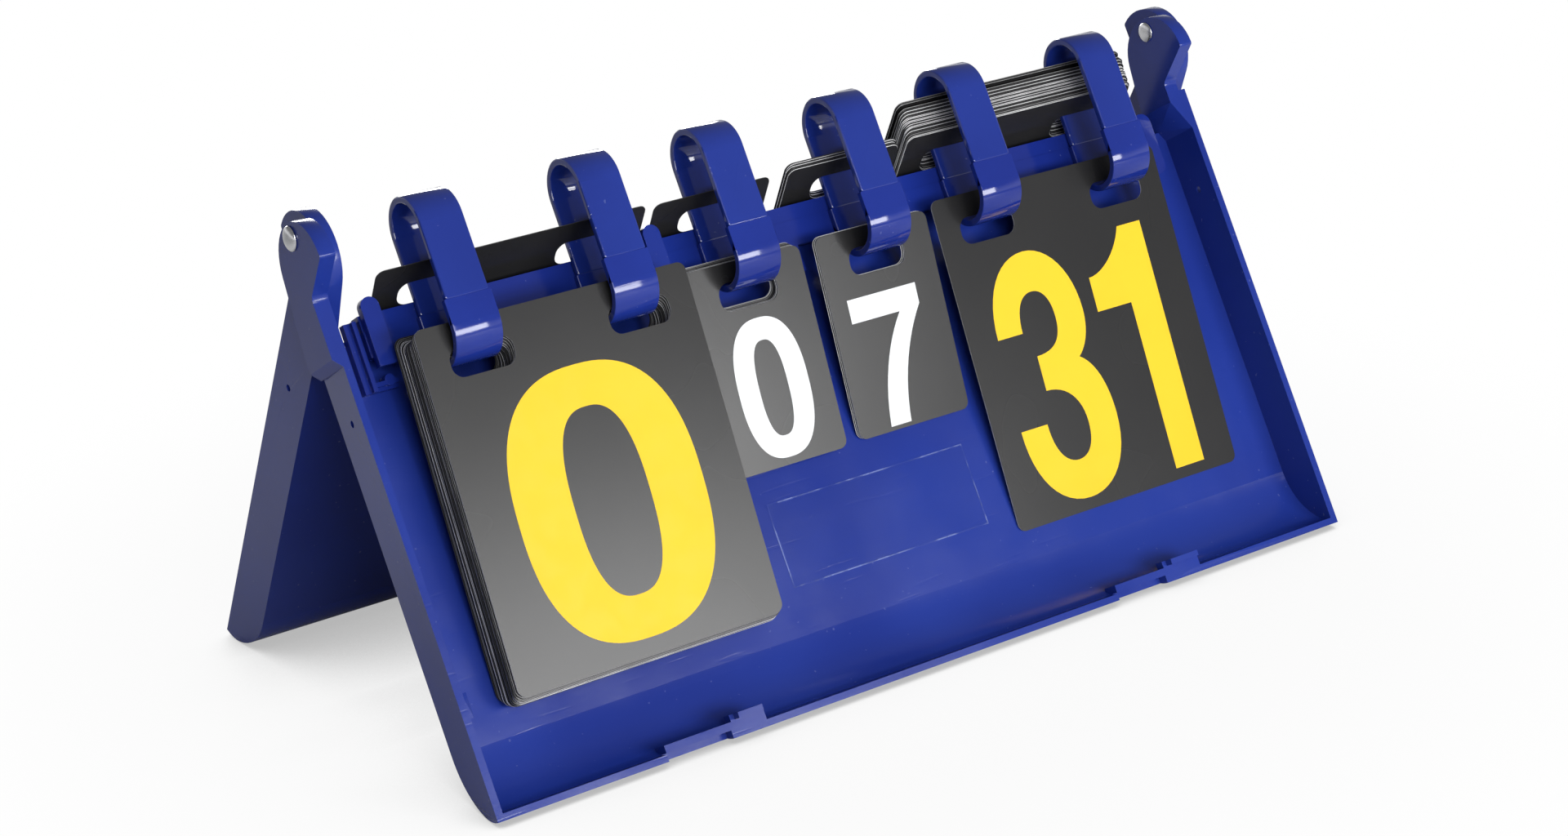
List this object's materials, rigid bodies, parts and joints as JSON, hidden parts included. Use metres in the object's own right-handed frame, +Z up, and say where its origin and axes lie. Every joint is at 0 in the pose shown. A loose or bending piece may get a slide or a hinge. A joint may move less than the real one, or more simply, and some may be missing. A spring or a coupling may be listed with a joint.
{
  "type": "tabletop scoreboard",
  "caption": "Folding tabletop scoreboard: two hinged tray shells stand as an A and carry decks of numbered flip cards on snap rings.",
  "frame": {"origin": "on the surface it stands on, under the middle of the open scoreboard", "axes": "+X along the case to the reader's right, +Z up, the front tray with the read side faces -Y"},
  "size_m": [0.3956, 0.2048, 0.191],
  "materials": {
    "case_blue": "glossy royal-blue injection-moulded plastic",
    "rail_blue": "glossy royal-blue injection-moulded plastic with fine moulding lines",
    "ring_blue": "glossy royal-blue injection-moulded plastic with bright edges",
    "rivet_metal": "smooth bare metal rivet head",
    "clear_film": "clear self-adhesive film, bare",
    "card_stock": "satin charcoal card with pale cut edges and flat printed numbers"
  },
  "bodies": {
    "front_case": {"front_shell": "case_blue", "left_rivet": "rivet_metal", "right_rivet": "rivet_metal", "ring_rail": "rail_blue", "catch": "rail_blue", "ring_hook_1": "rail_blue", "ring_hook_2": "rail_blue", "ring_hook_3": "rail_blue", "ring_hook_4": "rail_blue", "ring_hook_5": "rail_blue", "ring_hook_6": "rail_blue", "ring_arch_1": "ring_blue", "ring_arch_2": "ring_blue", "ring_arch_3": "ring_blue", "ring_arch_4": "ring_blue", "ring_arch_5": "ring_blue", "ring_arch_6": "ring_blue", "clear_label": "clear_film", "left_points_stack": "card_stock", "left_sets_stack": "card_stock", "right_sets_stack": "card_stock"},
    "rear_case": {"rear_shell": "case_blue", "left_points_turned": "card_stock", "left_sets_turned": "card_stock", "right_sets_turned": "card_stock", "right_points_turned": "card_stock"},
    "left_points_card": {"left_points_front_card": "card_stock"},
    "left_sets_card": {"left_sets_front_card": "card_stock"},
    "right_sets_card": {"right_sets_front_card": "card_stock"},
    "right_points_card": {"right_points_front_card": "card_stock"}
  },
  "joints": [
    {"name": "case_fold", "type": "hinge", "parent": "front_case", "child": "rear_case", "pos_m": [0, 0, 0.18384], "axis": [1, 0, 0], "range_deg": [0, 301.16], "deforming": ["left_points_turned", "left_sets_turned", "right_sets_turned", "right_points_turned"]},
    {"name": "left_points_lift", "type": "hinge", "parent": "front_case", "child": "left_points_card", "pos_m": [0, -0.02202, 0.14561], "axis": [1, 0, 0], "range_deg": [-50, 0]},
    {"name": "left_sets_lift", "type": "hinge", "parent": "front_case", "child": "left_sets_card", "pos_m": [0, -0.02202, 0.14561], "axis": [1, 0, 0], "range_deg": [-110, 0]},
    {"name": "right_sets_lift", "type": "hinge", "parent": "front_case", "child": "right_sets_card", "pos_m": [0, -0.02202, 0.14561], "axis": [1, 0, 0], "range_deg": [-116, 0]},
    {"name": "right_points_lift", "type": "hinge", "parent": "front_case", "child": "right_points_card", "pos_m": [0, -0.02202, 0.14561], "axis": [1, 0, 0], "range_deg": [-119, 0]}
  ]
}
